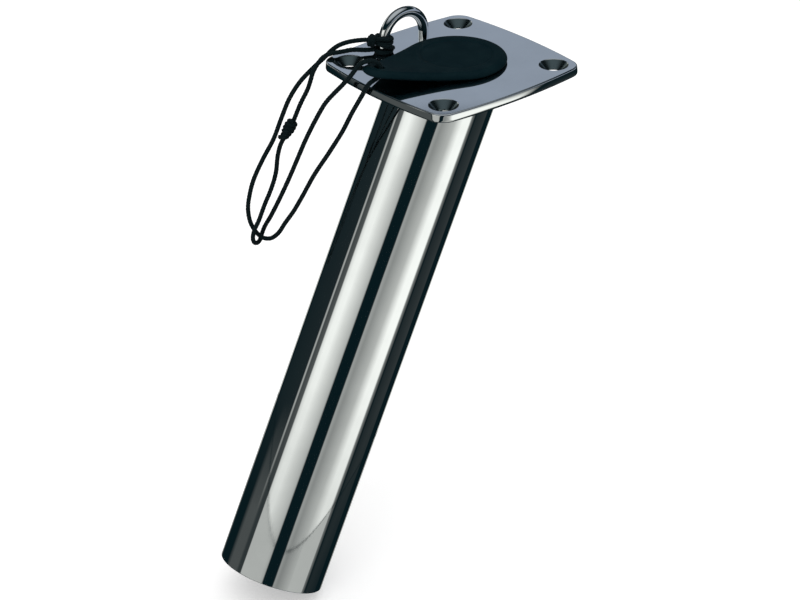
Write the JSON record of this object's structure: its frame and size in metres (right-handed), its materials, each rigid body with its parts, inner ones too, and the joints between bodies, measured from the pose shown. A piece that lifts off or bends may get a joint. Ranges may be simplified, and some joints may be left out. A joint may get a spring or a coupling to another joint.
{
  "type": "flush-mount rod holder",
  "caption": "Flush-mount fishing rod holder: a slanted steel tube under a bow-sided deck flange, with a rubber plug cap tied by a cord to a welded eye.",
  "frame": {"origin": "centre of the screw pattern, on the flange's underside", "axes": "+Z out of the deck, square to the flange; the socket tube leans down towards -X; +Y towards the eye's side"},
  "size_m": [0.1828, 0.112, 0.2583],
  "materials": {
    "polished_steel": "mirror polished stainless steel",
    "weld_steel": "bare stainless weld bead",
    "cap_rubber": "satin moulded rubber",
    "liner_plastic": "satin vinyl",
    "cord_fabric": "braided synthetic cord"
  },
  "bodies": {
    "holder": {"flange": "polished_steel", "tube": "polished_steel", "tube_weld": "weld_steel", "eye_staple": "polished_steel", "eye_welds": "weld_steel", "rod_liner": "liner_plastic", "gimbal_pin": "polished_steel", "pin_welds": "weld_steel", "lanyard": "cord_fabric", "eye_hitch": "cord_fabric", "joining_knot": "cord_fabric"},
    "plug": {"plug_cap": "cap_rubber"}
  },
  "joints": [
    {"name": "plug_pull", "type": "slide", "parent": "holder", "child": "plug", "axis": [0.454, 0, 0.891], "range_m": [0, 0.06], "deforming": ["lanyard"]}
  ]
}
